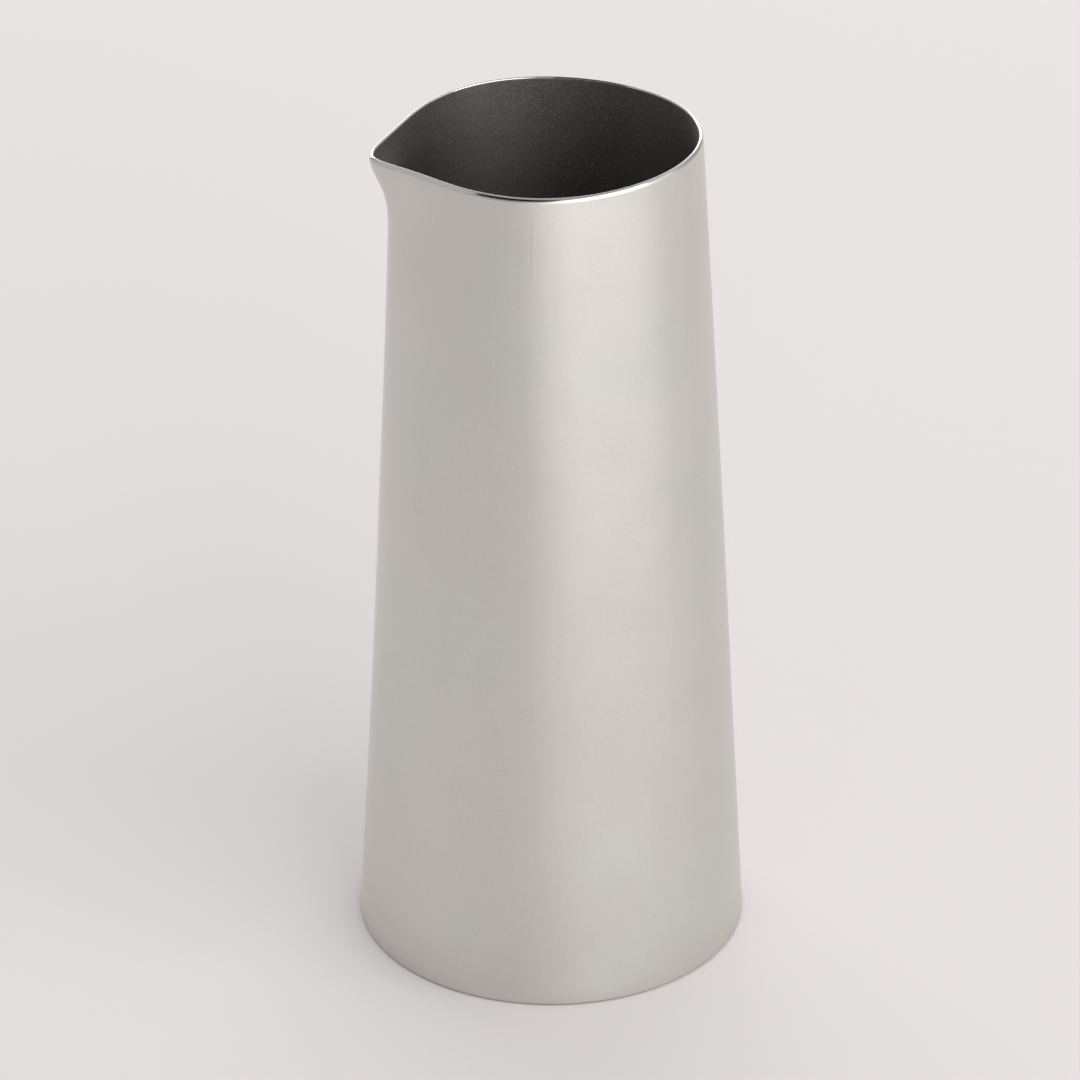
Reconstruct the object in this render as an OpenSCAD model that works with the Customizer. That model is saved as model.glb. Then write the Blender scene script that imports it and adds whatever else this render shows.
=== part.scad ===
// Double-walled steel mixing vessel with a pouring lip.
// Millimetres. +Z is up, z = 0 is the surface it stands on, and the lip points along -X.

/* [Body] */
// Diameter of the sleeve at its foot
base_d = 88; // [80:0.5:110]
// Height of the rim above the table, away from the lip
height = 195; // [160:1:240]
// Diameter of the sleeve at the mouth, before the lip is drawn
mouth_d = 65.8; // [56:0.2:80]
// Thickness of the outer sleeve's sheet
shell_wall = 0.5; // [0.4:0.05:0.8]
// Thickness of the liner's sheet
liner_wall = 0.5; // [0.4:0.05:0.8]
// Gap between the two sheets where the rim joins them
seam_gap = 0.05; // [0.02:0.01:0.1]

/* [Rim] */
// Height of the joining bead, from the sheets' edges to its top
bead_h = 1.3; // [1:0.05:2]
// Height of the crown's sloping shoulder on the sleeve's side
crown_h = 0.7; // [0.4:0.05:0.9]
// Height of the crown's rounding on the liner's side
crown_in = 0.3; // [0.1:0.05:0.6]

/* [Pouring lip] */
// How far the lip stands out beyond the mouth
lip_reach = 8.6; // [5:0.1:14]
// Angle over which the lip falls away on each side, in degrees
lip_spread = 13.1; // [9:0.1:22]
// Angle over which the tip is rounded, in degrees
tip_round = 7.6; // [4:0.1:14]
// How far the tip dips below the rim
lip_dip = 1; // [0:0.1:4]
// Height of the short flare under the tip
flare_h = 8.2; // [5:0.1:16]
// Share of the reach that the short flare makes, the rest is the long flute
flare_share = 0.52; // [0.3:0.01:0.8]
// Length of the flute that runs down from the lip
flute_h = 150; // [90:1:155]
// How far the mouth is drawn in all round when the lip is pulled
round_draw = 0.9; // [0:0.05:2]
// How much further its two sides are drawn in
side_draw = 0.85; // [0:0.05:2]
// Swell of the mouth's shoulders on both sides of the lip
shoulder = 0.7; // [0:0.05:1.2]
// Depth below the rim to which the drawing-in reaches
draw_h = 88; // [50:1:120]

/* [Liner floor] */
// Height of the liner floor's upper face above the table
floor_z = 12; // [9:0.1:20]
// Outer radius of the floor's rounded corner
floor_corner = 9; // [5:0.1:14]

/* [Foot] */
// Gap between the sleeve's lower edge and the table
foot_gap = 0.4; // [0.2:0.05:1]
// Sheet thickness of the base plate
plate_t = 0.6; // [0.4:0.05:1]
// Height of the plate's flat underside above the table
plate_z = 3.2; // [2.6:0.1:5]
// Clearance between the plate's skirt and the sleeve
skirt_gap = 0.04; // [0.03:0.01:0.1]
// Outer diameter of the cover disc
cover_d = 58; // [46:0.5:70]
// Thickness of the cover disc
cover_t = 0.7; // [0.5:0.05:1]
// Clearance between the cover disc and the non-slip ring round it
cover_gap = 0.5; // [0.3:0.1:1.5]
// Clearance between the non-slip ring and the skirt round it
pad_gap = 0.5; // [0.3:0.1:1]
// Depth of the ring's tread grooves
tread_depth = 0.4; // [0.2:0.05:0.8]
// Width of a tread groove
tread_w = 1; // [0.6:0.1:1.6]
// Distance from one tread groove to the next
tread_pitch = 2.4; // [2:0.1:4]

/* [Seal and getter] */
// Diameter of the dimple at the middle of the plate
dimple_d = 16; // [12:0.5:22]
// Depth of the dimple
dimple_h = 1.6; // [1:0.1:2.4]
// Diameter of the hole that the air was drawn through
vent_d = 1.6; // [1:0.1:3]
// Diameter of the sealing bead
seal_d = 7; // [5:0.1:10]
// Diameter of the getter pellet
getter_d = 9; // [6:0.1:12]
// Thickness of the getter pellet
getter_t = 1.6; // [1:0.1:2.2]
// Distance of the pellet from the middle
getter_x = 21; // [16:0.5:26]
// Width of the strap over the pellet
clip_w = 4; // [2:0.1:6]
// Thickness of the strap
clip_t = 0.3; // [0.2:0.05:0.5]

/* [Hidden] */

around = 96;                    // points round each swept surface
crown_steps = 9;                // chords across the bead's crown
crown_at = 2 / 3;               // share of the bead's thickness at which its crown is highest
shoulder_power = 1.8;           // curve of the crown's shoulder, 1 for a straight bevel
base_r = base_d / 2;
mouth_r = mouth_d / 2;
rim_t = shell_wall + seam_gap + liner_wall;
taper = (base_r - mouth_r) / (height - foot_gap);
draw_power = 1.3;               // how quickly the drawing-in fades downwards
flute_power = 2;                // how quickly the flute fades downwards
// Depths below the rim at which the sheets are measured out, close together under the lip
depths = [0, 1.5, 3, 4.5, 6, 8, 10, 12.5, 16, 21, 28, 38, 52, 70, 92, 120];
joint_r = mouth_r + taper * bead_h;             // outer radius of the sleeve where the bead starts
liner_r = joint_r - shell_wall - seam_gap;      // outer radius of the straight part of the liner
floor_top = floor_z - liner_wall + floor_corner;  // where the floor's corner meets the liner wall
skirt_top = plate_z + plate_t;                  // upper face of the base plate's web
tread_inset = 2.2;              // plain land on each side of the tread grooves

// Share of the lip's reach at an angle away from its middle
function lip(a) = exp((tip_round - sqrt(a * a + tip_round * tip_round)) / lip_spread);

// Height of the rim at that angle
function rim_z(a) = height - lip_dip * lip(a);

// How the lip fades with the depth below the rim
function fade(d) = flare_share * exp(-pow(d / flare_h, 2))
    + (1 - flare_share) * pow(max(0, 1 - d / flute_h), flute_power);

// How far the mouth is drawn in at that angle
function draw_in(a) = round_draw + side_draw * pow(sin(a), 2) + shoulder * cos(3 * a);

// Shift of both sheets away from their round sections
function shift(a, d) = lip_reach * fade(d) * lip(a)
    - draw_in(a) * pow(max(0, 1 - d / draw_h), draw_power);

// Radius of the plain cone, and of the vessel's outer surface
function cone(z) = base_r - taper * (z - foot_gap);
function skin(a, z) = cone(z) + shift(a, rim_z(a) - z);

// Stretch of a wall's radial thickness where the skin leans, so the sheet keeps its gauge
function lean(a, z) =
    let (r = skin(a, z), turn = (skin(a + 1, z) - skin(a - 1, z)) / (2 * r * sin(1)),
         rise = (skin(a, z) - skin(a, z - 0.5)) / 0.5)
    sqrt(1 + turn * turn + rise * rise);

// Radii of the four sheet faces
function shell_out(a, z) = skin(a, z);
function shell_in(a, z) = skin(a, z) - shell_wall * lean(a, z);
function liner_face(a, z, t) = joint_r + shift(a, rim_z(a) - z) - t * lean(a, z);
function liner_out(a, z) = liner_face(a, z, shell_wall + seam_gap);
function liner_in(a, z) = liner_face(a, z, rim_t);

// Signed angle from the lip's middle of step i round the vessel, from -180 to 180
function step_angle(i) = let (a = 360 * i / around) a > 180 ? a - 360 : a;

// A point at radius r and height z, with the lip's middle along -X
function at(a, r, z) = [-r * cos(a), -r * sin(a), z];

// Faces that join rows of points into a closed ring-shaped solid
function ring_faces(rows) = [
    for (j = [0 : rows - 1], i = [0 : around - 1])
        let (i2 = (i + 1) % around, j2 = (j + 1) % rows,
             p = j * around + i, q = j * around + i2, r = j2 * around + i2, s = j2 * around + i)
        each [[p, r, q], [p, s, r]]
];

// Levels of one sheet at one angle, from its top edge down to low
function levels(low) = [for (d = depths) if (d < height - bead_h - low - 8) d];

// A sheet between an outer and an inner face, its top edge under the bead and its lower edge at low
module sheet(low, outer, inner) {
    steps = levels(low);
    function z_at(a, k) = k < len(steps) ? rim_z(a) - bead_h - steps[k] : low;
    n = len(steps) + 1;
    points = concat(
        [for (k = [0 : n - 1], i = [0 : around - 1])
            let (a = step_angle(i), z = z_at(a, k)) at(a, outer(a, z), z)],
        [for (k = [n - 1 : -1 : 0], i = [0 : around - 1])
            let (a = step_angle(i), z = z_at(a, k)) at(a, inner(a, z), z)]);
    polyhedron(points, ring_faces(2 * n));
}

// Conical sleeve with the outer half of the lip
module outer_shell()
    color([0.74, 0.72, 0.69])
    sheet(foot_gap, function(a, z) shell_out(a, z), function(a, z) shell_in(a, z));

// Straight liner wall with the inner half of the lip
module inner_liner()
    color([0.2, 0.19, 0.19])
    sheet(floor_top, function(a, z) liner_out(a, z), function(a, z) liner_in(a, z));

// Depth of the crown's surface below its top, at a share of the bead's thickness from the outside
function crown(s) = s < crown_at ? crown_h * pow(1 - s / crown_at, shoulder_power)
    : crown_in * pow((s - crown_at) / (1 - crown_at), 2);

// Polished bead that joins the two sheets: straight sides, a sloping shoulder and a rounded inner edge
module rim_weld() {
    sides = [[0, -bead_h],
             for (k = [0 : crown_steps]) let (s = k / crown_steps) [s, -crown(s)],
             [1, -bead_h]];
    points = [for (s = sides, i = [0 : around - 1])
        let (a = step_angle(i), z = rim_z(a) + s[1], r_out = shell_out(a, z), r_in = liner_in(a, z))
        at(a, r_out + s[0] * (r_in - r_out), z)];
    color([0.9, 0.89, 0.87]) polyhedron(points, ring_faces(len(sides)));
}

// Pressed liner floor: flat middle, rounded corner, short wall up to the liner
module liner_floor() {
    r_in = floor_corner - liner_wall;
    color([0.24, 0.23, 0.23])
    rotate_extrude()
    difference() {
        union() {
            translate([0, floor_z - liner_wall]) square([liner_r - floor_corner, liner_wall]);
            translate([liner_r - floor_corner, floor_top]) circle(floor_corner);
        }
        translate([liner_r - floor_corner, floor_top]) circle(r_in);
        translate([liner_r - 2 * floor_corner - 1, floor_top])
            square([2 * floor_corner + 2, floor_corner + 1]);
        translate([liner_r - 2 * floor_corner, floor_z]) square([floor_corner, floor_corner + 1]);
    }
}

// Outer radius of the base plate's skirt, which follows the sleeve
function skirt_r(z) = cone(z) - shell_wall * sqrt(1 + taper * taper) - skirt_gap;

// Pressed plate that closes the foot: skirt, web and the dimple of the seal
module base_plate() {
    dimple_r = dimple_d / 2;
    color([0.66, 0.65, 0.63])
    rotate_extrude()
    polygon([
        [vent_d / 2, plate_z + dimple_h],
        [dimple_r - dimple_h, plate_z + dimple_h],
        [dimple_r, plate_z],
        [skirt_r(plate_z) - plate_t, plate_z],
        [skirt_r(foot_gap) - plate_t, foot_gap],
        [skirt_r(foot_gap), foot_gap],
        [skirt_r(skirt_top), skirt_top],
        [dimple_r + plate_t / 2, skirt_top],
        [dimple_r + plate_t / 2 - dimple_h, skirt_top + dimple_h],
        [vent_d / 2, skirt_top + dimple_h]
    ]);
}

// Bead of sealing glass that fills the vent and spreads below it
module vacuum_seal() {
    top = plate_z + dimple_h;
    sag = 0.8;
    color([0.22, 0.15, 0.1])
    rotate_extrude()
    union() {
        translate([0, top]) square([vent_d / 2, plate_t]);
        intersection() {
            translate([0, top]) scale([1, 2 * sag / seal_d]) circle(seal_d / 2);
            translate([0, top - sag]) square([seal_d, sag]);
        }
    }
}

// Getter pellet on the plate
module getter()
    color([0.35, 0.35, 0.37])
    translate([getter_x, 0, skirt_top]) cylinder(d = getter_d, h = getter_t);

// Strap over the pellet, with a welded foot at each end
module getter_clip() {
    clear = 0.1;
    foot = 3;
    span = getter_d + 2 * (clear + clip_t);
    high = getter_t + clear;
    color([0.75, 0.74, 0.72])
    translate([getter_x - clip_w / 2, 0, skirt_top])
    rotate([90, 0, 90])
    linear_extrude(clip_w)
    union() {
        translate([-span / 2, high]) square([span, clip_t]);
        for (side = [-1, 1]) {
            translate([side * (span - clip_t) / 2 - clip_t / 2, 0]) square([clip_t, high + clip_t]);
            translate([side > 0 ? span / 2 - clip_t : -span / 2 + clip_t - foot, 0])
                square([foot, clip_t]);
        }
    }
}

// Thin disc bonded under the plate, hiding the seal
module base_cover() {
    bevel = 0.25;
    r = cover_d / 2;
    color([0.7, 0.69, 0.67])
    rotate_extrude()
    polygon([[0, plate_z - cover_t], [r - bevel, plate_z - cover_t], [r, plate_z - cover_t + bevel],
             [r, plate_z], [0, plate_z]]);
}

// Non-slip ring that the vessel stands on, with tread grooves in its underside
module base_pad() {
    r_in = cover_d / 2 + cover_gap;
    r_out = skirt_r(foot_gap) - plate_t - pad_gap;
    grooves = floor((r_out - r_in - 2 * tread_inset + tread_pitch - tread_w) / tread_pitch);
    color([0.16, 0.16, 0.17])
    rotate_extrude()
    difference() {
        translate([r_in, 0]) square([r_out - r_in, plate_z]);
        for (k = [0 : grooves - 1])
            translate([r_in + tread_inset + k * tread_pitch, -1])
                square([tread_w, 1 + tread_depth]);
    }
}

outer_shell();
inner_liner();
rim_weld();
liner_floor();
base_plate();
vacuum_seal();
getter();
getter_clip();
base_cover();
base_pad();
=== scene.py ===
"""Dresses a double-walled steel mixing vessel with a pouring lip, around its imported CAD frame.

Lengths are metres in the frame's own axes: +Z is up, z = 0 is the table and the lip points along -X.
"""
import logging
import math
from collections.abc import Callable, Mapping, Sequence
from dataclasses import dataclass, field
from enum import IntEnum

import bmesh
import bpy
import numpy as np
from mathutils import Matrix, Vector


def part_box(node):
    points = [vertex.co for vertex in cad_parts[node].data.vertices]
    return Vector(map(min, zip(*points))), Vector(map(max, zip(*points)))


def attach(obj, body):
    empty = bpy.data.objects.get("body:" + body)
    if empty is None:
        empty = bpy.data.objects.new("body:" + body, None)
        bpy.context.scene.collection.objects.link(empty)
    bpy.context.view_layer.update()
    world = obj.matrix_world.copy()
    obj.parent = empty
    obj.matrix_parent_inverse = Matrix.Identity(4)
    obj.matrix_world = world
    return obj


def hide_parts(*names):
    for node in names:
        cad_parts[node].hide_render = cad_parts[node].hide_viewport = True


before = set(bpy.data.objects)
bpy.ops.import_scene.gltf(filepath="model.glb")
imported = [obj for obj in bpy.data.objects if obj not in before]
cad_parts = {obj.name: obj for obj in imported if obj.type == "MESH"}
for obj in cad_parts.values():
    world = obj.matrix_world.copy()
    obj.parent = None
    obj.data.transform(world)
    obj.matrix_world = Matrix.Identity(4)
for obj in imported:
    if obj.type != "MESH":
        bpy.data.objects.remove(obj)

LOG = logging.getLogger("mixing_vessel")
ROOT_BODY = "root"
ROUND_AND_ROUND = 0.25
HALF = 0.5
Colour = tuple[float, float, float]
Point = tuple[float, float]
Surface = Callable[[np.ndarray, np.ndarray], np.ndarray]


# ------------------------------------------------------------------------------------------------
# Shader graphs
# ------------------------------------------------------------------------------------------------


class Value:
    """A socket of a shader graph whose arithmetic is written as Python expressions."""

    def __init__(self, graph: "Graph", socket: bpy.types.NodeSocket) -> None:
        """Wraps one output socket of a graph."""
        self.graph = graph
        self.socket = socket

    def _math(self, operation: str, *terms: object) -> "Value":
        """Adds a Math node with numbers or values as its inputs, in order."""
        return self.graph.value("ShaderNodeMath", {"operation": operation}, dict(enumerate(terms)))

    def __add__(self, other: object) -> "Value":
        """Sum."""
        return self._math("ADD", self, other)

    def __radd__(self, other: object) -> "Value":
        """Sum with a number on the left."""
        return self._math("ADD", other, self)

    def __sub__(self, other: object) -> "Value":
        """Difference."""
        return self._math("SUBTRACT", self, other)

    def __rsub__(self, other: object) -> "Value":
        """Difference from a number on the left."""
        return self._math("SUBTRACT", other, self)

    def __mul__(self, other: object) -> "Value":
        """Product."""
        return self._math("MULTIPLY", self, other)

    def __rmul__(self, other: object) -> "Value":
        """Product with a number on the left."""
        return self._math("MULTIPLY", other, self)

    def __truediv__(self, other: object) -> "Value":
        """Quotient."""
        return self._math("DIVIDE", self, other)

    def __pow__(self, other: object) -> "Value":
        """Power."""
        return self._math("POWER", self, other)

    def __abs__(self) -> "Value":
        """Size without its sign."""
        return self._math("ABSOLUTE", self)

    def swing(self, size: float) -> "Value":
        """Centres a value that runs from 0 to 1 on 0 and scales it."""
        return (self - HALF) * size

    def above(self, limit: float) -> "Value":
        """1 where the value is over a limit, else 0."""
        return self._math("GREATER_THAN", self, limit)

    def step(self, start: float, end: float) -> "Value":
        """Eases from 0 to 1 between two values.

        Args:
            start: where the result is 0.
            end: where it reaches 1.

        Returns:
            The eased value.
        """
        settings = {"interpolation_type": "SMOOTHSTEP"}
        if start <= end:
            return self.graph.value("ShaderNodeMapRange", settings, {0: self, 1: start, 2: end})
        return 1 - self.graph.value("ShaderNodeMapRange", settings, {0: self, 1: end, 2: start})


class Graph:
    """The node tree of one material or of the world, with a single way to add a node."""

    def __init__(self, tree: bpy.types.NodeTree) -> None:
        """Empties a node tree to build in."""
        self.tree = tree
        self.tree.nodes.clear()

    def node(
        self,
        kind: str,
        settings: Mapping[str, object] | None = None,
        inputs: Mapping[str | int, object] | None = None,
    ) -> bpy.types.Node:
        """Adds one node.

        Args:
            kind: the node's type.
            settings: its properties, set first.
            inputs: a number, colour, Value or socket for each named or numbered input.

        Returns:
            The new node.
        """
        made = self.tree.nodes.new(kind)
        for name, setting in (settings or {}).items():
            setattr(made, name, setting)
        for name, given in (inputs or {}).items():
            if isinstance(given, Value):
                self.tree.links.new(given.socket, made.inputs[name])
            elif isinstance(given, bpy.types.NodeSocket):
                self.tree.links.new(given, made.inputs[name])
            else:
                made.inputs[name].default_value = given
        return made

    def value(
        self,
        kind: str,
        settings: Mapping[str, object] | None = None,
        inputs: Mapping[str | int, object] | None = None,
        output: str | int = 0,
    ) -> Value:
        """Adds one node and returns one of its outputs as a Value."""
        return Value(self, self.node(kind, settings, inputs).outputs[output])

    def place(self) -> Value:
        """The point on the surface, in the frame's metres."""
        return self.value("ShaderNodeTexCoord", output="Object")

    def axes(self, place: Value) -> tuple[Value, Value, Value]:
        """Splits a point into x, y and z."""
        split = self.node("ShaderNodeSeparateXYZ", inputs={0: place})
        return tuple(Value(self, split.outputs[axis]) for axis in range(3))

    def stretch(self, place: Value, scale: Colour) -> Value:
        """Scales a point along each axis."""
        return self.value("ShaderNodeVectorMath", {"operation": "MULTIPLY"}, {0: place, 1: scale})

    def noise(self, place: Value, scale: float = 1.0, detail: float = 2.0, rough: float = 0.5) -> Value:
        """Cloudy noise about 0.5.

        Args:
            place: where it is read.
            scale: clouds per unit of place.
            detail: octaves.
            rough: strength of the finer octaves.

        Returns:
            The noise.
        """
        inputs = {"Vector": place, "Scale": scale, "Detail": detail, "Roughness": rough}
        return self.value("ShaderNodeTexNoise", inputs=inputs)

    def blend(self, share: object, first: object, second: object) -> Value:
        """Mixes two colours, from first at share 0 to second at share 1."""
        settings = {"data_type": "RGBA"}
        return self.value("ShaderNodeMix", settings, {0: share, 6: first, 7: second}, output=2)

    def shades(self, tone: Value, colour: Colour, darkest: float, lightest: float) -> Value:
        """Runs a colour from its darkest factor at tone 0 to its lightest at tone 1."""
        return self.blend(tone, shaded(colour, darkest), shaded(colour, lightest))

    def bump(self, height: Value, distance: float, strength: float = 1.0) -> Value:
        """Turns a height from 0 to 1 into a normal, with its full depth in metres."""
        inputs = {"Strength": strength, "Distance": distance, "Height": height}
        return self.value("ShaderNodeBump", inputs=inputs, output="Normal")


class Finish:
    """A finish that builds its material once and hands the same one to every piece."""

    name: str

    def material(self) -> bpy.types.Material:
        """Finds the finish's material, or builds it the first time.

        Returns:
            The material that every piece with this finish shares.
        """
        made = bpy.data.materials.get(self.name)
        if made is None:
            made = bpy.data.materials.new(self.name)
            made.use_nodes = True
            graph = Graph(made.node_tree)
            surface = graph.node("ShaderNodeBsdfPrincipled", inputs=self.sockets(graph))
            graph.node("ShaderNodeOutputMaterial", inputs={"Surface": surface.outputs[0]})
        return made

    def sockets(self, graph: Graph) -> dict[str, object]:
        """Returns the inputs of the finish's shader.

        Args:
            graph: the material's graph.

        Returns:
            The inputs of its shader.
        """
        raise NotImplementedError


def shaded(colour: Colour, factor: float) -> tuple[float, float, float, float]:
    """Scales a colour's brightness and adds full alpha."""
    return (*(channel * factor for channel in colour), 1.0)


@dataclass(frozen=True)
class Hairline:
    """A single fine scratch on the sleeve, bowed like part of an arc."""

    angle: float
    height: float
    length: float
    tilt: float
    bow: float
    width: float = 0.00016

    def mask(self, along: Value, facing: Value, z: Value) -> Value:
        """Draws the scratch.

        Args:
            along: distance sideways from the scratch's middle.
            facing: 1 on the half of the sleeve that the scratch is on.
            z: height.

        Returns:
            1 on the scratch, easing to 0 beside it and towards its ends.
        """
        line = (z - self.height) - along * self.tilt - along * along * self.bow
        near = abs(line).step(self.width, 0.0)
        ends = abs(along).step(self.length / 2, self.length / 6)
        return near * ends * facing


@dataclass(frozen=True)
class SatinSteel(Finish):
    """Stainless steel ground round and round on a belt, which smears reflections up and down."""

    name: str = "satin_ground_steel"
    colour: Colour = (0.664, 0.644, 0.605)
    cool_colour: Colour = (0.65, 0.647, 0.608)
    roughness: float = 0.36
    anisotropy: float = 0.55
    line_length: float = 0.03
    line_pitch: float = 0.00025
    line_depth: float = 0.0000012
    line_share: float = 0.1
    band_length: float = 0.09
    band_pitch: float = 0.003125
    band_share: float = 0.02
    speck_size: float = 0.00035
    speck_share: float = 0.34
    cloud_size: float = 0.025
    cloud_share: float = 0.26
    mark_share: float = 0.26
    tint_size: float = 0.045
    contrast: float = 0.2
    seam_angle: float = math.radians(71)
    seam_width: float = 0.00028
    seam_top: float = 0.193
    seam_end: float = 0.173
    seam_fade: float = 0.007
    hairlines: tuple[Hairline, ...] = (
        Hairline(math.radians(95), 0.1795, 0.004, 0.12, 30.0),
        Hairline(math.radians(52), 0.1525, 0.009, -0.15, 22.0),
        Hairline(math.radians(160), 0.118, 0.011, 0.3, -9.0),
        Hairline(math.radians(-70), 0.151, 0.007, -0.2, 18.0),
        Hairline(math.radians(-128), 0.087, 0.012, 0.16, -12.0),
    )

    def sockets(self, graph: Graph) -> dict[str, object]:
        """Ground lines, specks, clouds, a drift of tint, a ghost of the sleeve's seam and hairlines.

        Args:
            graph: the material's graph.

        Returns:
            The inputs of its shader.
        """
        place = graph.place()
        turns = 1 / self.line_length
        fine = graph.noise(graph.stretch(place, (turns, turns, 1 / self.line_pitch)), detail=3)
        turns = 1 / self.band_length
        bands = graph.noise(graph.stretch(place, (turns, turns, 1 / self.band_pitch)))
        specks = graph.noise(place, 1 / self.speck_size, detail=1)
        clouds = graph.noise(place, 1 / self.cloud_size, detail=4, rough=0.6)
        tint = graph.noise(place, 1 / self.tint_size, detail=3).step(0.38, 0.66)
        marks = self._marks(graph, place)
        lines = fine.swing(self.line_share) + bands.swing(self.band_share)
        spots = specks.swing(self.speck_share) + clouds.swing(self.cloud_share)
        tone = lines + spots - marks * self.mark_share + HALF
        darkest, lightest = 1 - self.contrast, 1 + self.contrast
        warm = graph.shades(tone, self.colour, darkest, lightest)
        cool = graph.shades(tone, self.cool_colour, darkest, lightest)
        return {
            "Base Color": graph.blend(tint, warm, cool),
            "Metallic": 1.0,
            "Roughness": specks.swing(0.04) + clouds.swing(0.08) + marks * 0.08 + self.roughness,
            "Anisotropic": self.anisotropy,
            "Anisotropic Rotation": ROUND_AND_ROUND,
            "Normal": graph.bump(fine + specks * 0.7 - marks * 0.6, self.line_depth),
        }

    def _marks(self, graph: Graph, place: Value) -> Value:
        """Adds up the seam's trace and every hairline.

        Args:
            graph: the material's graph.
            place: the point on the surface.

        Returns:
            0 on clean steel, up to 1 on a mark.
        """
        x, y, z = graph.axes(place)
        along, facing = self._beside(x, y, self.seam_angle)
        above_end = z.step(self.seam_end, self.seam_end + self.seam_fade)
        below_top = z.step(self.seam_top, self.seam_top - self.seam_fade)
        marks = abs(along).step(self.seam_width, 0.0) * facing * above_end * below_top
        for hairline in self.hairlines:
            along, facing = self._beside(x, y, hairline.angle)
            marks = marks + hairline.mask(along, facing, z)
        return marks

    @staticmethod
    def _beside(x: Value, y: Value, angle: float) -> tuple[Value, Value]:
        """Measures from a line that goes up the sleeve.

        Args:
            x: place along X.
            y: place along Y.
            angle: the line's angle round the sleeve.

        Returns:
            The distance sideways from the line, and 1 on the half of the sleeve that it is on.
        """
        along = x * math.sin(angle) - y * math.cos(angle)
        facing = (x * -math.cos(angle) - y * math.sin(angle)).above(0.0)
        return along, facing


@dataclass(frozen=True)
class PolishedSteel(Finish):
    """The ground and mirror-polished bead of the rim."""

    name: str = "polished_rim_steel"
    colour: Colour = (0.6, 0.588, 0.56)
    roughness: float = 0.12
    line_scale: Colour = (60.0, 60.0, 9000.0)
    ripple_size: float = 1 / 420
    ripple_depth: float = 0.000002

    def sockets(self, graph: Graph) -> dict[str, object]:
        """Faint polishing lines that run along the bead, over the slow ripple of the weld.

        Args:
            graph: the material's graph.

        Returns:
            The inputs of its shader.
        """
        place = graph.place()
        lines = graph.noise(graph.stretch(place, self.line_scale), detail=2)
        ripple = graph.noise(place, 1 / self.ripple_size, detail=1)
        tone = lines.swing(0.5) + ripple.swing(0.3) + HALF
        return {
            "Base Color": graph.shades(tone, self.colour, 0.94, 1.04),
            "Metallic": 1.0,
            "Roughness": lines.swing(0.08) + self.roughness,
            "Normal": graph.bump(ripple + lines * 0.2, self.ripple_depth),
        }


@dataclass(frozen=True)
class BlastedSteel(Finish):
    """Dark bead-blasted and oxidised steel of the liner, with single grains painted brighter as glints.
    """

    name: str = "dark_blasted_steel"
    colour: Colour = (0.16, 0.146, 0.14)
    roughness: float = 0.48
    anisotropy: float = 0.85
    grain: float = 0.0003
    grain_depth: float = 0.00018
    painted_glints_per_grain: float = 1.4
    painted_glint_factor: float = 1.6
    cloud_size: float = 1 / 70

    def sockets(self, graph: Graph) -> dict[str, object]:
        """Blast pits, brown mottling, and single grains painted brighter as glints and made a little
        smoother.

        Args:
            graph: the material's graph.

        Returns:
            The inputs of its shader.
        """
        place = graph.place()
        pits = graph.noise(place, 1 / self.grain, detail=2, rough=0.7)
        inputs = {"Vector": place, "Scale": self.painted_glints_per_grain / self.grain}
        cell = graph.value("ShaderNodeTexVoronoi", inputs=inputs, output="Color")
        # Painted glints: a few grain cells get a lighter base colour that stands in for sparkle; their
        # slightly lower roughness is real.
        painted_glint = graph.axes(cell)[0].step(0.75, 1.0)
        clouds = graph.noise(place, 1 / self.cloud_size, detail=4, rough=0.65)
        tone = clouds.swing(0.3) + pits.swing(0.8) + HALF
        dark = graph.shades(tone, self.colour, 0.6, 1.4)
        return {
            # Painted glint: the chosen grain cells take the lighter base colour.
            "Base Color": graph.blend(painted_glint, dark, shaded(self.colour, self.painted_glint_factor)),
            "Metallic": 0.85,
            "Roughness": clouds.swing(0.1) - painted_glint * 0.06 + self.roughness,
            "Anisotropic": self.anisotropy,
            "Anisotropic Rotation": ROUND_AND_ROUND,
            "Normal": graph.bump(pits, self.grain_depth),
        }


@dataclass(frozen=True)
class PressedSteel(Finish):
    """Mill-finish sheet, drawn over a die: soft radial draw marks and dull grey clouds."""

    name: str = "pressed_mill_steel"
    colour: Colour = (0.55, 0.54, 0.52)
    roughness: float = 0.36
    cloud_size: float = 1 / 55
    mill_scale: Colour = (2600.0, 120.0, 600.0)
    mill_depth: float = 0.000004

    def sockets(self, graph: Graph) -> dict[str, object]:
        """Mill grain and clouds.

        Args:
            graph: the material's graph.

        Returns:
            The inputs of its shader.
        """
        place = graph.place()
        clouds = graph.noise(place, 1 / self.cloud_size, detail=4, rough=0.6)
        mill = graph.noise(graph.stretch(place, self.mill_scale), detail=2)
        tone = clouds.swing(0.6) + mill.swing(0.3) + HALF
        return {
            "Base Color": graph.shades(tone, self.colour, 0.82, 1.12),
            "Metallic": 1.0,
            "Roughness": clouds.swing(0.16) + self.roughness,
            "Normal": graph.bump(mill + clouds, self.mill_depth, 0.6),
        }


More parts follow.
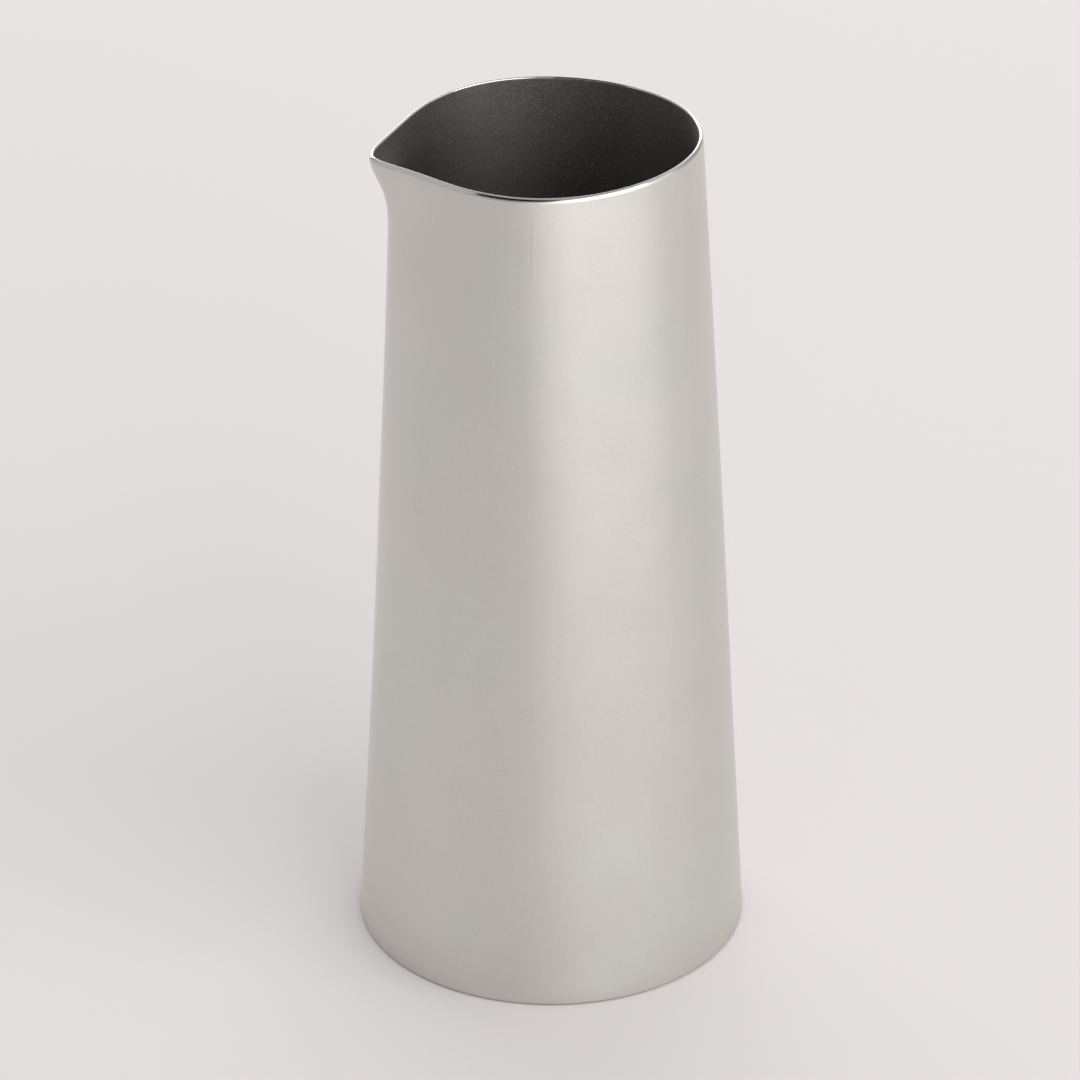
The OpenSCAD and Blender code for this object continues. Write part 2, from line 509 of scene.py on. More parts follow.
@dataclass(frozen=True)
class TurnedSteel(Finish):
    """Lathe-faced steel of the cover disc, with rings that spin a fan of light round its middle."""

    name: str = "turned_cover_steel"
    colour: Colour = (0.62, 0.61, 0.585)
    roughness: float = 0.27
    ring_pitch: float = 0.0003
    ring_depth: float = 0.000003
    cloud_size: float = 1 / 80

    def sockets(self, graph: Graph) -> dict[str, object]:
        """Concentric tool rings of uneven depth.

        Args:
            graph: the material's graph.

        Returns:
            The inputs of its shader.
        """
        place = graph.place()
        x, y, _ = graph.axes(place)
        turns = ((x * x + y * y) ** HALF) / self.ring_pitch
        rings = graph.noise(graph.value("ShaderNodeCombineXYZ", inputs={0: turns}))
        clouds = graph.noise(place, 1 / self.cloud_size, detail=3)
        tone = rings.swing(0.9) + clouds.swing(0.4) + HALF
        return {
            "Base Color": graph.shades(tone, self.colour, 0.86, 1.1),
            "Metallic": 1.0,
            "Roughness": rings.swing(0.1) + self.roughness,
            "Anisotropic": 0.6,
            "Anisotropic Rotation": ROUND_AND_ROUND,
            "Normal": graph.bump(rings, self.ring_depth),
        }


@dataclass(frozen=True)
class Silicone(Finish):
    """Moulded silicone of the foot ring, matt, with a bloom of dust in its pores."""

    name: str = "foot_silicone"
    colour: Colour = (0.035, 0.035, 0.037)
    roughness: float = 0.62
    grain: float = 1 / 3200
    grain_depth: float = 0.00002
    dust_size: float = 1 / 140

    def sockets(self, graph: Graph) -> dict[str, object]:
        """Spark-eroded mould grain and dust.

        Args:
            graph: the material's graph.

        Returns:
            The inputs of its shader.
        """
        place = graph.place()
        grain = graph.noise(place, 1 / self.grain, detail=2)
        dust = graph.noise(place, 1 / self.dust_size, detail=4, rough=0.7)
        bloom = dust.step(0.48, 0.75) * 0.5
        return {
            "Base Color": graph.shades(bloom, self.colour, 1.0, 3.2),
            "Roughness": grain.swing(0.2) + bloom * 0.2 + self.roughness,
            "IOR": 1.41,
            "Normal": graph.bump(grain, self.grain_depth, 0.7),
        }


@dataclass(frozen=True)
class SealingGlass(Finish):
    """Amber-brown solder glass, glossy, with small bubbles under its skin."""

    name: str = "sealing_glass"
    colour: Colour = (0.11, 0.05, 0.022)
    roughness: float = 0.12
    bubble_size: float = 1 / 1500
    flow_size: float = 1 / 500
    flow_depth: float = 0.00001

    def sockets(self, graph: Graph) -> dict[str, object]:
        """Flow streaks and bubbles.

        Args:
            graph: the material's graph.

        Returns:
            The inputs of its shader.
        """
        place = graph.place()
        inputs = {"Vector": place, "Scale": 1 / self.bubble_size}
        spots = graph.value("ShaderNodeTexVoronoi", inputs=inputs).step(0.28, 0.1)
        flow = graph.noise(place, 1 / self.flow_size, detail=3)
        streaked = graph.shades(flow, self.colour, 0.5, 1.7)
        return {
            "Base Color": graph.blend(spots * 0.5, streaked, shaded(self.colour, 3.0)),
            "Roughness": flow.swing(0.1) + self.roughness,
            "IOR": 1.6,
            "Normal": graph.bump(flow - spots * 0.4, self.flow_depth),
        }


@dataclass(frozen=True)
class GetterAlloy(Finish):
    """Pressed and sintered metal powder of the getter pellet."""

    name: str = "sintered_getter"
    colour: Colour = (0.16, 0.16, 0.17)
    roughness: float = 0.66
    grain: float = 1 / 5200
    grain_depth: float = 0.00005
    cloud_size: float = 1 / 600

    def sockets(self, graph: Graph) -> dict[str, object]:
        """Powder grains with open pores between them.

        Args:
            graph: the material's graph.

        Returns:
            The inputs of its shader.
        """
        place = graph.place()
        inputs = {"Vector": place, "Scale": 1 / self.grain}
        grains = graph.value("ShaderNodeTexVoronoi", inputs=inputs)
        clouds = graph.noise(place, 1 / self.cloud_size, detail=3)
        return {
            "Base Color": graph.shades(grains * 0.8 + clouds.swing(0.5), self.colour, 0.45, 1.8),
            "Metallic": 0.7,
            "Roughness": clouds.swing(0.2) + self.roughness,
            "Normal": graph.bump(grains, self.grain_depth),
        }


@dataclass(frozen=True)
class PaperSweep(Finish):
    """The pale paper that the vessel stands on in the studio."""

    name: str = "studio_paper"
    colour: Colour = (0.80, 0.766, 0.761)
    fibre_size: float = 1 / 900

    def sockets(self, graph: Graph) -> dict[str, object]:
        """Barely visible fibre.

        Args:
            graph: the material's graph.

        Returns:
            The inputs of its shader.
        """
        fibre = graph.noise(graph.place(), 1 / self.fibre_size, detail=3)
        return {
            "Base Color": graph.shades(fibre.swing(0.5) + HALF, self.colour, 0.985, 1.015),
            "Roughness": 0.9,
            "Specular IOR Level": 0.2,
        }


@dataclass(frozen=True)
class BlackCloth(Finish):
    """The black cloth of the studio's flag."""

    name: str = "studio_black_cloth"
    colour: Colour = (0.012, 0.012, 0.013)
    nap_size: float = 1 / 700

    def sockets(self, graph: Graph) -> dict[str, object]:
        """Plain nap.

        Args:
            graph: the material's graph.

        Returns:
            The inputs of its shader.
        """
        nap = graph.noise(graph.place(), 1 / self.nap_size, detail=1)
        return {
            "Base Color": graph.shades(nap, self.colour, 0.8, 1.2),
            "Roughness": 1.0,
            "Specular IOR Level": 0.0,
        }


# ------------------------------------------------------------------------------------------------
# Form of the vessel
# ------------------------------------------------------------------------------------------------


@dataclass(frozen=True)
class LipForm:
    """The pouring lip, drawn out of a round mouth. Angles are measured from the lip's middle."""

    reach: float = 0.0086
    spread: float = math.radians(13.1)
    tip_round: float = math.radians(7.6)
    dip: float = 0.001
    flare_h: float = 0.0082
    flare_share: float = 0.52
    flute_h: float = 0.15
    flute_power: float = 2.0
    round_draw: float = 0.0009
    side_draw: float = 0.00085
    shoulder: float = 0.0007
    draw_h: float = 0.088
    draw_power: float = 1.3

    def share(self, angle: np.ndarray) -> np.ndarray:
        """Share of the lip's reach at an angle away from its middle."""
        return np.exp((self.tip_round - np.hypot(angle, self.tip_round)) / self.spread)

    def fade(self, depth: np.ndarray) -> np.ndarray:
        """How much of the lip is left at a depth below the rim."""
        flute = np.maximum(0.0, 1 - depth / self.flute_h) ** self.flute_power
        return self.flare_share * np.exp(-((depth / self.flare_h) ** 2)) + (1 - self.flare_share) * flute

    def draw_in(self, angle: np.ndarray) -> np.ndarray:
        """How far the mouth is drawn in at an angle when the lip is pulled out of it."""
        return self.round_draw + self.side_draw * np.sin(angle) ** 2 + self.shoulder * np.cos(3 * angle)

    def shift(self, angle: np.ndarray, depth: np.ndarray) -> np.ndarray:
        """Shift of a sheet away from its round section."""
        drawn = self.draw_in(angle) * np.maximum(0.0, 1 - depth / self.draw_h) ** self.draw_power
        return self.reach * self.fade(depth) * self.share(angle) - drawn


@dataclass(frozen=True)
class VesselForm:
    """The cone of the sleeve, the straight liner inside it and the lip that both share."""

    base_r: float
    height: float
    foot_gap: float
    liner_low: float
    mouth_r: float = 0.0329
    shell_wall: float = 0.0005
    seam_gap: float = 0.00005
    liner_wall: float = 0.0005
    bead_h: float = 0.0013
    crown_h: float = 0.0007
    crown_in: float = 0.0003
    crown_at: float = 2 / 3
    shoulder_power: float = 1.8
    lip: LipForm = field(default_factory=LipForm)

    @classmethod
    def from_frame(cls) -> "VesselForm":
        """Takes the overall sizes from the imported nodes.

        Returns:
            The form, as tall and as wide as the frame's vessel.
        """
        shell_low, shell_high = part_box("outer_shell")
        return cls(
            base_r=shell_high.y,
            height=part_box("rim_weld")[1].z,
            foot_gap=shell_low.z,
            liner_low=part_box("inner_liner")[0].z,
        )

    @property
    def taper(self) -> float:
        """Fall of the sleeve's radius with its height."""
        return (self.base_r - self.mouth_r) / (self.height - self.foot_gap)

    @property
    def joint_r(self) -> float:
        """Outer radius of the sleeve where the bead starts."""
        return self.mouth_r + self.taper * self.bead_h

    def rim_z(self, angle: np.ndarray) -> np.ndarray:
        """Height of the rim."""
        return self.height - self.lip.dip * self.lip.share(angle)

    def cone(self, z: np.ndarray) -> np.ndarray:
        """Radius of the sleeve's plain cone."""
        return self.base_r - self.taper * (z - self.foot_gap)

    def skin(self, angle: np.ndarray, z: np.ndarray) -> np.ndarray:
        """Radius of the vessel's outer surface."""
        return self.cone(z) + self.lip.shift(angle, self.rim_z(angle) - z)

    def lean(self, angle: np.ndarray, z: np.ndarray) -> np.ndarray:
        """Stretches a wall's radial thickness where the skin leans, so the sheet keeps its gauge.

        Args:
            angle: angle round the axis.
            z: height.

        Returns:
            The factor on the radial thickness, 1 where the skin is square to the radius.
        """
        turn_step = math.radians(1)
        rise_step = 0.0005
        here = self.skin(angle, z)
        beside = self.skin(angle + turn_step, z) - self.skin(angle - turn_step, z)
        turn = beside / (2 * here * math.sin(turn_step))
        rise = (here - self.skin(angle, z - rise_step)) / rise_step
        return np.sqrt(1 + turn**2 + rise**2)

    def shell_in(self, angle: np.ndarray, z: np.ndarray) -> np.ndarray:
        """Radius of the sleeve's inner face."""
        return self.skin(angle, z) - self.shell_wall * self.lean(angle, z)

    def crown(self, share: np.ndarray) -> np.ndarray:
        """Draws the section of the bead's crown.

        Args:
            share: place across the bead, from 0 at its outside to 1 at its inside.

        Returns:
            The depth below the bead's top.
        """
        outer = self.crown_h * np.maximum(0.0, 1 - share / self.crown_at) ** self.shoulder_power
        inner = self.crown_in * (np.maximum(0.0, share - self.crown_at) / (1 - self.crown_at)) ** 2
        return outer + inner

    def liner_face(self, angle: np.ndarray, z: np.ndarray, inset: float) -> np.ndarray:
        """Radius of a liner face, set in from the sleeve's skin by inset at the rim."""
        shifted = self.joint_r + self.lip.shift(angle, self.rim_z(angle) - z)
        return shifted - inset * self.lean(angle, z)

    def liner_out(self, angle: np.ndarray, z: np.ndarray) -> np.ndarray:
        """Radius of the liner's vacuum side."""
        return self.liner_face(angle, z, self.shell_wall + self.seam_gap)

    def liner_in(self, angle: np.ndarray, z: np.ndarray) -> np.ndarray:
        """Radius of the liner's wet side."""
        return self.liner_face(angle, z, self.shell_wall + self.seam_gap + self.liner_wall)


# ------------------------------------------------------------------------------------------------
# Mesh work
# ------------------------------------------------------------------------------------------------


@dataclass(frozen=True)
class Corner:
    """One corner of a profile, with the radius it is rounded to."""

    r: float
    z: float
    round: float = 0.0


def profile(corners: Sequence[Corner], steps: int = 6) -> list[Point]:
    """Rounds the corners of a closed outline.

    Args:
        corners: the outline's corners in order.
        steps: chords in each rounded corner.

    Returns:
        The outline's points.
    """
    points: list[Point] = []
    for index, corner in enumerate(corners):
        before, after = corners[index - 1], corners[(index + 1) % len(corners)]
        here = Vector((corner.r, corner.z))
        if not corner.round:
            points.append((corner.r, corner.z))
            continue
        back = (Vector((before.r, before.z)) - here).normalized()
        on = (Vector((after.r, after.z)) - here).normalized()
        half = back.angle(on) / 2
        middle = here + (back + on).normalized() * (corner.round / math.sin(half))
        start = here + back * (corner.round / math.tan(half)) - middle
        first = math.atan2(start.y, start.x)
        turn = math.copysign(math.pi - 2 * half, back.cross(on))
        for step in range(steps + 1):
            spoke = first - turn * step / steps
            point = middle + Vector((math.cos(spoke), math.sin(spoke))) * corner.round
            points.append((point.x, point.y))
    return points


def sweep(name: str, angles: np.ndarray, radii: np.ndarray, heights: np.ndarray) -> bpy.types.Object:
    """Joins one closed section per angle into a ring-shaped solid about the Z axis.

    Args:
        name: the new object's name.
        angles: angles from the lip's middle, once round.
        radii: radius of each section point, a row per point and a column per angle.
        heights: height of each section point, in the same order.

    Returns:
        The solid.
    """
    rows, count = radii.shape
    x = -radii * np.cos(angles)
    y = -radii * np.sin(angles)
    verts = np.stack([x, y, heights], axis=-1).reshape(-1, 3)
    start = np.arange(rows)[:, None] * count
    below = np.roll(start, -1, axis=0)
    col = np.arange(count)[None, :]
    beside = np.roll(col, -1, axis=1)
    corners = [start + col, below + col, below + beside, start + beside]
    faces = np.stack([np.broadcast_to(c, (rows, count)) for c in corners], axis=-1).reshape(-1, 4)
    mesh = bpy.data.meshes.new(name)
    mesh.from_pydata(verts.tolist(), [], faces.tolist())
    tidy_mesh(mesh)
    return add(name, mesh)


def add(name: str, data: bpy.types.ID | None) -> bpy.types.Object:
    """Puts a mesh, a light or a camera into the scene as an object of its own.

    Args:
        name: the object's name.
        data: its mesh, light or camera.

    Returns:
        The new object.
    """
    made = bpy.data.objects.new(name, data)
    bpy.context.scene.collection.objects.link(made)
    return made


def lathe(name: str, points: Sequence[Point], count: int = 192) -> bpy.types.Object:
    """Turns a closed profile about the Z axis.

    Args:
        name: the object's name.
        points: the profile's (radius, height) points in order.
        count: how many steps the turn has.

    Returns:
        The turned piece.
    """
    angles = np.linspace(0, 2 * math.pi, count, endpoint=False)
    radii = np.array([[r] * count for r, _ in points])
    heights = np.array([[z] * count for _, z in points])
    return sweep(name, angles, radii, heights)


def tidy_mesh(mesh: bpy.types.Mesh, crease: float = math.radians(32), merge: float = 1e-7) -> None:
    """Merges doubled points, turns faces outwards and shades them smooth up to a crease.

    Args:
        mesh: the mesh to clean up.
        crease: the angle between faces from which an edge stays sharp.
        merge: the distance within which points are one.
    """
    work = bmesh.new()
    work.from_mesh(mesh)
    bmesh.ops.remove_doubles(work, verts=work.verts, dist=merge)
    bmesh.ops.recalc_face_normals(work, faces=work.faces)
    work.to_mesh(mesh)
    work.free()
    mesh.shade_smooth()
    mesh.set_sharp_from_angle(angle=crease)


def settle(piece: bpy.types.Object, finish: Finish, slot: str, *nodes: str) -> None:
    """Dresses a piece and puts it in its place in the frame.

    Args:
        piece: the new piece.
        finish: its finish, unless its faces have finishes already.
        slot: not used.
        nodes: the CAD nodes it stands for.
    """
    if not piece.data.materials:
        piece.data.materials.append(finish.material())
    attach(piece, ROOT_BODY)
    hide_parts(*nodes)
    LOG.info("%s stands for %s, %d faces", piece.name, ", ".join(nodes), len(piece.data.polygons))


# ------------------------------------------------------------------------------------------------
# Sub-assemblies
# ------------------------------------------------------------------------------------------------


class BeadFace(IntEnum):
    """Material slot of each part of the bead's surface."""

    POLISHED = 0
    SLEEVE = 1
    LINER = 2


@dataclass
class Walls:
    """The two drawn sheets and the bead that joins them at the rim."""

    form: VesselForm
    around: int = 336
    crowding: float = 0.5
    rows: int = 84
    row_power: float = 1.5
    edge_round: float = 0.00014
    edge_steps: int = 4
    side_steps: int = 2
    crown_steps: int = 24
    shoulder_steps: int = 3

    def angles(self) -> np.ndarray:
        """Angles round the vessel, closer together at the lip than at the back."""
        even = np.linspace(-1, 1, self.around, endpoint=False)
        return math.pi * (even * (1 - self.crowding) + self.crowding * even**3)

    def sheet(self, name: str, low: float, outer: Surface, inner: Surface) -> bpy.types.Object:
        """Builds one sheet between two faces, from under the bead down to low.

        Args:
            name: the new piece's name.
            low: height of the lower edge.
            outer: function of angle and height that gives the outer radius.
            inner: the same for the inner radius.

        Returns:
            The sheet, with its lower edge rounded.
        """
        angles = self.angles()
        top = self.form.rim_z(angles) - self.form.bead_h
        foot = low + self.edge_round
        shares = np.linspace(0, 1, self.rows) ** self.row_power
        wall = top[None, :] + (foot - top)[None, :] * shares[:, None]
        turn = np.linspace(0, math.pi / 2, self.edge_steps + 1)[1:, None]
        edge_z = foot - self.edge_round * np.sin(turn) + 0 * angles[None, :]
        inset = self.edge_round * (1 - np.cos(turn))
        down_r = np.concatenate([outer(angles, wall), outer(angles, edge_z) - inset])
        up_r = np.concatenate([inner(angles, wall), inner(angles, edge_z) + inset])[::-1]
        down_z = np.concatenate([wall, edge_z])
        return sweep(name, angles, np.concatenate([down_r, up_r]), np.concatenate([down_z, down_z[::-1]]))

    def bead(self) -> bpy.types.Object:
        """Builds the rim's bead: straight sides, a sloping shoulder and a rounded inner edge.

        Returns:
            The bead, with its finishes on its faces.
        """
        form = self.form
        angles = self.angles()
        across = np.linspace(0, 1, self.crown_steps + 1)
        ends = np.zeros(self.side_steps)
        share = np.concatenate([ends, across, ends + 1])[:, None]
        outer_side = np.linspace(-form.bead_h, -form.crown_h, self.side_steps + 1)[:-1]
        inner_side = np.linspace(-form.crown_in, -form.bead_h, self.side_steps + 1)[1:]
        drop = np.concatenate([outer_side, -form.crown(across), inner_side])[:, None]
        z = form.rim_z(angles)[None, :] + drop
        outside = form.skin(angles, z)
        inside = form.liner_in(angles, z)
        made = sweep("polished_rim_bead", angles, outside + share * (inside - outside), z)
        self.dress_bead(made)
        return made

    def dress_bead(self, bead: bpy.types.Object) -> None:
        """Lets the sleeve's finish run over the bead's shoulder and the liner's up its inner side.

        Args:
            bead: the bead, with its faces in bands from the outside over the crown to the underside.
        """
        finishes = {
            BeadFace.POLISHED: PolishedSteel(),
            BeadFace.SLEEVE: SatinSteel(),
            BeadFace.LINER: BlastedSteel(),
        }
        for face in BeadFace:
            bead.data.materials.append(finishes[face].material())
        crown_end = self.side_steps + self.crown_steps
        bands = [BeadFace.SLEEVE] * (self.side_steps + self.shoulder_steps)
        bands += [BeadFace.POLISHED] * (crown_end - len(bands))
        bands += [BeadFace.LINER] * self.side_steps + [BeadFace.POLISHED]
        for index, polygon in enumerate(bead.data.polygons):
            polygon.material_index = bands[index // self.around]

    def build(self) -> None:
        """Builds and dresses the sleeve, the liner wall and the bead."""
        form = self.form
        sleeve = self.sheet("satin_sleeve", form.foot_gap, form.skin, form.shell_in)
        settle(sleeve, SatinSteel(), "satin_steel", "outer_shell")
        wall = self.sheet("liner_wall", form.liner_low, form.liner_out, form.liner_in)
        settle(wall, BlastedSteel(), "blasted_steel", "inner_liner")
        settle(self.bead(), PolishedSteel(), "polished_steel", "rim_weld")


@dataclass
class Foot:
    """Everything that closes the vessel below: liner floor, base plate, cover disc and foot ring."""

    form: VesselForm
    sheet: float = 0.0005
    floor_corner: float = 0.009
    plate: float = 0.0006
    bend: float = 0.0009
    dimple_h: float = 0.0016
    dimple_r: float = 0.008
    vent_r: float = 0.0008
    cover_bevel: float = 0.00025
    groove_w: float = 0.001
    groove_depth: float = 0.0004
    groove_pitch: float = 0.0024
    groove_inset: float = 0.0022
    pad_gap: float = 0.0005
    pad_round: float = 0.0003
    cut_round: float = 0.0001
    flat_spare: float = 1e-5

    def liner_floor(self) -> bpy.types.Object:
        """Builds the pressed floor: a flat middle, a rounded corner and a short wall.

        Returns:
            The floor.
        """
        low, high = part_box("liner_floor")
        radius = high.y
        outside = self.floor_corner
        inside = outside - self.sheet
        corners = [
            Corner(0.0, low.z + self.sheet),
            Corner(0.0, low.z),
            Corner(radius, low.z, outside - self.flat_spare),
            Corner(radius, high.z),
            Corner(radius - self.sheet, high.z),
            Corner(radius - self.sheet, low.z + self.sheet, inside - self.flat_spare),
        ]
        return lathe("liner_floor_pan", profile(corners, 14))

    def base_plate(self) -> bpy.types.Object:
        """Builds the pressed plate: skirt, web and the dimple of the seal, with soft bends.

        Returns:
            The plate.
        """
        low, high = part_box("base_plate")
        web = high.z - self.dimple_h - self.plate
        skirt_low = high.y
        lean = self.form.taper
        skirt_web = skirt_low - lean * (web - low.z)
        skirt_top = skirt_low - lean * (web + self.plate - low.z)
        inner_dimple = self.dimple_r - self.dimple_h
        shift = self.plate / 2
        corners = [
            Corner(self.vent_r, high.z - self.plate, self.cut_round),
            Corner(inner_dimple, high.z - self.plate, self.bend - self.plate),
            Corner(self.dimple_r, web, self.bend),
            Corner(skirt_web - self.plate, web, self.bend - self.plate),
            Corner(skirt_low - self.plate, low.z, self.cut_round),
            Corner(skirt_low, low.z, self.cut_round),
            Corner(skirt_top, web + self.plate, self.bend),
            Corner(self.dimple_r + shift, web + self.plate, self.bend - self.plate),
            Corner(inner_dimple + shift, high.z, self.bend),
            Corner(self.vent_r, high.z, self.cut_round),
        ]
        return lathe("pressed_base_plate", profile(corners))

    def cover(self) -> bpy.types.Object:
        """Builds the cover disc with a bevelled lower edge.

        Returns:
            The disc.
        """
        low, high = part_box("base_cover")
        corners = [
            Corner(0.0, high.z),
            Corner(0.0, low.z),
            Corner(high.y - self.cover_bevel, low.z, self.cut_round),
            Corner(high.y, low.z + self.cover_bevel, self.cut_round),
            Corner(high.y, high.z),
        ]
        return lathe("turned_cover_disc", profile(corners, 4))

    def foot_ring(self) -> bpy.types.Object:
        """Builds the non-slip ring with its tread grooves, all edges softly moulded.

        Returns:
            The ring.
        """
        low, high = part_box("base_pad")
        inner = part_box("base_cover")[1].y + self.pad_gap
        outer = high.y
        soft = self.pad_round
        corners = [Corner(inner, high.z, soft / 2), Corner(inner, low.z, soft)]
        start = inner + self.groove_inset
        while start + self.groove_w <= outer - self.groove_inset + self.flat_spare:
            end = start + self.groove_w
            corners += [
                Corner(start, low.z, soft / 2),
                Corner(start, low.z + self.groove_depth, soft / 2),
                Corner(end, low.z + self.groove_depth, soft / 2),
                Corner(end, low.z, soft / 2),
            ]
            start += self.groove_pitch
        corners += [Corner(outer, low.z, soft), Corner(outer, high.z, soft / 2)]
        return lathe("silicone_foot_ring", profile(corners, 4))

    def build(self) -> None:
        """Builds and dresses the four pieces."""
        settle(self.liner_floor(), BlastedSteel(), "blasted_steel", "liner_floor")
        settle(self.base_plate(), PressedSteel(), "pressed_steel", "base_plate")
        settle(self.cover(), TurnedSteel(), "cover_steel", "base_cover")
        settle(self.foot_ring(), Silicone(), "foot_silicone", "base_pad")


@dataclass
class VacuumFittings:
    """What keeps the vacuum: the glass seal in the vent, the getter pellet and its strap."""

    sag: float = 0.0008
    seal_steps: int = 10
    strap: float = 0.0003
    strap_foot: float = 0.003
    strap_bend: float = 0.0004
    edge: float = 0.0002

    def seal(self) -> bpy.types.Object:
        """Builds the glass: a plug in the vent over a sagging bead.

        Returns:
            The glass.
        """
        low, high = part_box("vacuum_seal")
        plug_r = Foot.vent_r
        top = low.z + self.sag
        turn = np.linspace(0, math.pi / 2, self.seal_steps + 1)
        bead = [(high.y * math.sin(t), top - self.sag * math.cos(t)) for t in turn]
        points = [(0.0, high.z), *bead, (plug_r, top), (plug_r, high.z)]
        return lathe("sealing_glass_bead", points, 96)

    def pellet(self) -> bpy.types.Object:
        """Builds the getter pellet with pressed, rounded edges.

        Returns:
            The pellet.
        """
        low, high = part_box("getter")
        radius = (high.y - low.y) / 2
        corners = [
            Corner(0.0, high.z),
            Corner(0.0, low.z),
            Corner(radius, low.z, self.edge),
            Corner(radius, high.z, self.edge),
        ]
        made = lathe("getter_pellet", profile(corners, 4), 96)
        made.data.transform(Matrix.Translation(((low.x + high.x) / 2, (low.y + high.y) / 2, 0.0)))
        return made

    def clip(self) -> bpy.types.Object:
        """Builds the strap over the pellet: bent strip with a flat foot at each end.

        Returns:
            The strap.
        """
        low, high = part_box("getter_clip")
        thick, foot = self.strap, self.strap_foot
        left, right = low.y, high.y
        tight = self.strap_bend - thick
        outline = profile(
            [
                Corner(left, low.z),
                Corner(left + foot, low.z, self.strap_bend / 2),
                Corner(left + foot, high.z - thick, tight),
                Corner(right - foot, high.z - thick, tight),
                Corner(right - foot, low.z, self.strap_bend / 2),
                Corner(right, low.z),
                Corner(right, low.z + thick),
                Corner(right - foot + thick, low.z + thick, tight),
                Corner(right - foot + thick, high.z, self.strap_bend),
                Corner(left + foot - thick, high.z, self.strap_bend),
                Corner(left + foot - thick, low.z + thick, tight),
                Corner(left, low.z + thick),
            ],
            4,
        )
        return strip("getter_strap", outline, low.x, high.x)

    def build(self) -> None:
        """Builds and dresses the three pieces."""
        settle(self.seal(), SealingGlass(), "sealing_glass", "vacuum_seal")
        settle(self.pellet(), GetterAlloy(), "getter_alloy", "getter")
        settle(self.clip(), PressedSteel(), "pressed_steel", "getter_clip")


def strip(name: str, outline: Sequence[Point], start: float, end: float) -> bpy.types.Object:
    """Extrudes a closed outline along X.

    Args:
        name: the new object's name.
        outline: its (y, z) points.
        start: where the strip starts along X.
        end: where it ends.

    Returns:
        The strip.
    """
    work = bmesh.new()
    verts = [work.verts.new((start, y, z)) for y, z in outline]
    face = work.faces.new(verts)
    grown = bmesh.ops.extrude_face_region(work, geom=[face])["geom"]
    moved = [item for item in grown if isinstance(item, bmesh.types.BMVert)]
    bmesh.ops.translate(work, verts=moved, vec=(end - start, 0, 0))
    mesh = bpy.data.meshes.new(name)
    work.to_mesh(mesh)
    work.free()
    tidy_mesh(mesh)
    return add(name, mesh)


# ------------------------------------------------------------------------------------------------
# Studio
# ------------------------------------------------------------------------------------------------


@dataclass(frozen=True)
class SoftBox:
    """A soft area light that hangs round the vessel and looks at it."""

    name: str
    azimuth: float
    elevation: float
    width: float
    height: float
    power: float
    distance: float = 2.2

    def build(self, target: Vector) -> None:
        """Hangs the light so that it faces the vessel.

        Args:
            target: the point that it faces.
        """
        data = bpy.data.lights.new(self.name, "AREA")
        data.shape = "RECTANGLE"
        data.size = self.width
        data.size_y = self.height
        data.energy = self.power
        made = add(self.name, data)
        made.visible_camera = False
        aim(made, target, outward(self.azimuth, self.elevation), self.distance)
        LOG.info("light %s", self.name)


def outward(azimuth: float, elevation: float) -> Vector:
    """Points outward from the vessel.

    Args:
        azimuth: degrees to the right of the vessel's front.
        elevation: degrees above the table.

    Returns:
        The unit vector.
    """
    turn = math.radians(azimuth)
    rise = math.radians(elevation)
    return Vector((math.sin(turn) * math.cos(rise), -math.cos(turn) * math.cos(rise), math.sin(rise)))


def aim(item: bpy.types.Object, target: Vector, back: Vector, distance: float) -> None:
    """Puts a light or a camera in its place and turns it to face its target.

    Args:
        item: the light or the camera.
        target: the point that it faces.
        back: unit vector from target to it.
        distance: how far away it is.
    """
    item.location = target + back * distance
    item.rotation_mode = "QUATERNION"
    item.rotation_quaternion = (-back).to_track_quat("-Z", "Y")


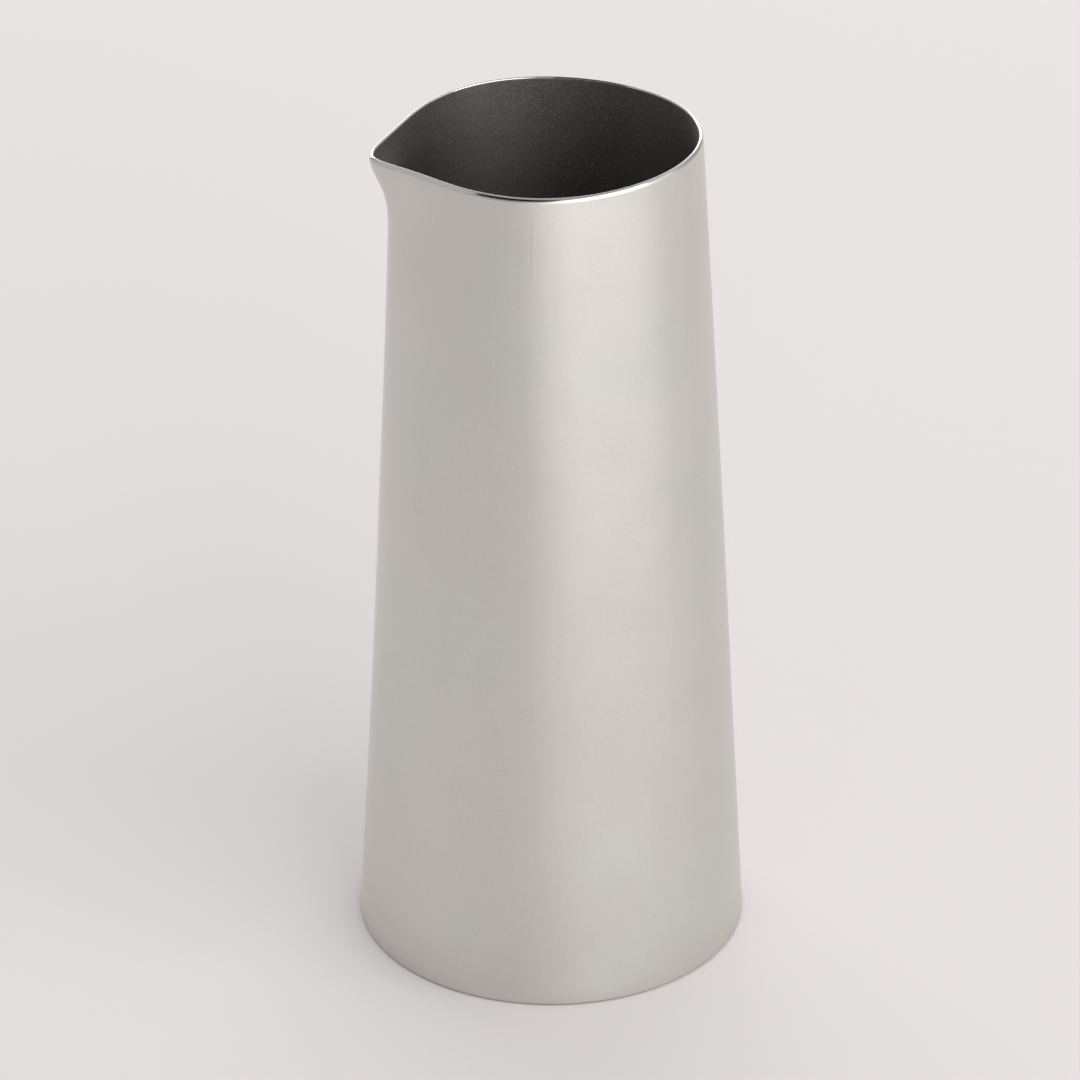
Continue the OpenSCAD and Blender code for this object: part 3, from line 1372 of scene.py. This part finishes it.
@dataclass
class Studio:
    """Pale paper floor, soft light and the camera."""

    target: Vector = field(default_factory=lambda: Vector((-0.00257, 0.00051, 0.09522)))
    camera_azimuth: float = -11.204
    camera_elevation: float = 29.25
    camera_distance: float = 1.3444
    lens: float = 200.8
    sensor: float = 36.0
    clip_start: float = 0.05
    clip_end: float = 50.0
    floor_half: float = 5.0
    flag_azimuth: float = -38.0
    flag_elevation: float = 47.0
    flag_distance: float = 1.9
    flag_width: float = 1.8
    flag_height: float = 1.2
    sky: Colour = (1.0, 1.0, 1.0)
    sky_strength: float = 0.5
    lights: tuple[SoftBox, ...] = (
        SoftBox("back_panel", 175.0, 20.0, 3.4, 1.4, 32.0),
        SoftBox("key_softbox", 36.0, 26.0, 2.6, 2.1, 31.2),
        SoftBox("front_panel", -3.0, 14.0, 1.1, 0.9, 5.9),
        SoftBox("right_softbox", 105.0, 38.0, 2.2, 1.1, 1.9),
        SoftBox("right_edge_panel", 78.0, 18.0, 1.0, 1.2, 1.6),
        SoftBox("left_softbox", 262.0, 38.0, 2.4, 1.1, 1.4),
        SoftBox("left_front_softbox", 312.0, 38.0, 1.0, 1.0, 1.3),
    )

    def camera(self) -> None:
        """Sets the camera at the height and angle of someone standing at the table."""
        data = bpy.data.cameras.new("camera")
        data.lens = self.lens
        data.sensor_width = self.sensor
        data.clip_start = self.clip_start
        data.clip_end = self.clip_end
        made = add("camera", data)
        back = outward(self.camera_azimuth, self.camera_elevation)
        aim(made, self.target, back, self.camera_distance)
        bpy.context.scene.camera = made

    def floor(self) -> None:
        """Lays the paper."""
        half = self.floor_half
        mesh = bpy.data.meshes.new("paper_floor")
        corners = [(-half, -half, 0.0), (half, -half, 0.0), (half, half, 0.0), (-half, half, 0.0)]
        mesh.from_pydata(corners, [], [(0, 1, 2, 3)])
        mesh.materials.append(PaperSweep().material())
        add("paper_floor", mesh)

    def flag(self) -> None:
        """Hangs a black card high at the camera's left, which only the steel mirrors."""
        back = outward(self.flag_azimuth, self.flag_elevation)
        side = Vector((0.0, 0.0, 1.0)).cross(back).normalized() * (self.flag_width / 2)
        rise = back.cross(side).normalized() * (self.flag_height / 2)
        middle = self.target + back * self.flag_distance
        corners = [middle - side - rise, middle + side - rise, middle + side + rise, middle - side + rise]
        mesh = bpy.data.meshes.new("black_flag")
        mesh.from_pydata(corners, [], [(0, 1, 2, 3)])
        mesh.materials.append(BlackCloth().material())
        made = add("black_flag", mesh)
        made.visible_camera = False
        made.visible_diffuse = False
        made.visible_shadow = False

    def world(self) -> None:
        """Fills the room with even white light."""
        scene = bpy.context.scene
        scene.world = bpy.data.worlds.new("studio_room")
        scene.world.use_nodes = True
        graph = Graph(scene.world.node_tree)
        inputs = {"Color": shaded(self.sky, 1.0), "Strength": self.sky_strength}
        room = graph.node("ShaderNodeBackground", inputs=inputs)
        graph.node("ShaderNodeOutputWorld", inputs={"Surface": room.outputs[0]})
        scene.view_settings.view_transform = "Standard"

    def build(self) -> None:
        """Builds the whole studio."""
        self.camera()
        self.floor()
        self.flag()
        self.world()
        for light in self.lights:
            light.build(self.target)


def main() -> None:
    """Builds every sub-assembly and the studio."""
    logging.basicConfig(level=logging.INFO, format="%(name)s: %(message)s")
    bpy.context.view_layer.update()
    form = VesselForm.from_frame()
    Studio().build()
    Walls(form).build()
    Foot(form).build()
    VacuumFittings().build()


if __name__ == "__main__":
    main()
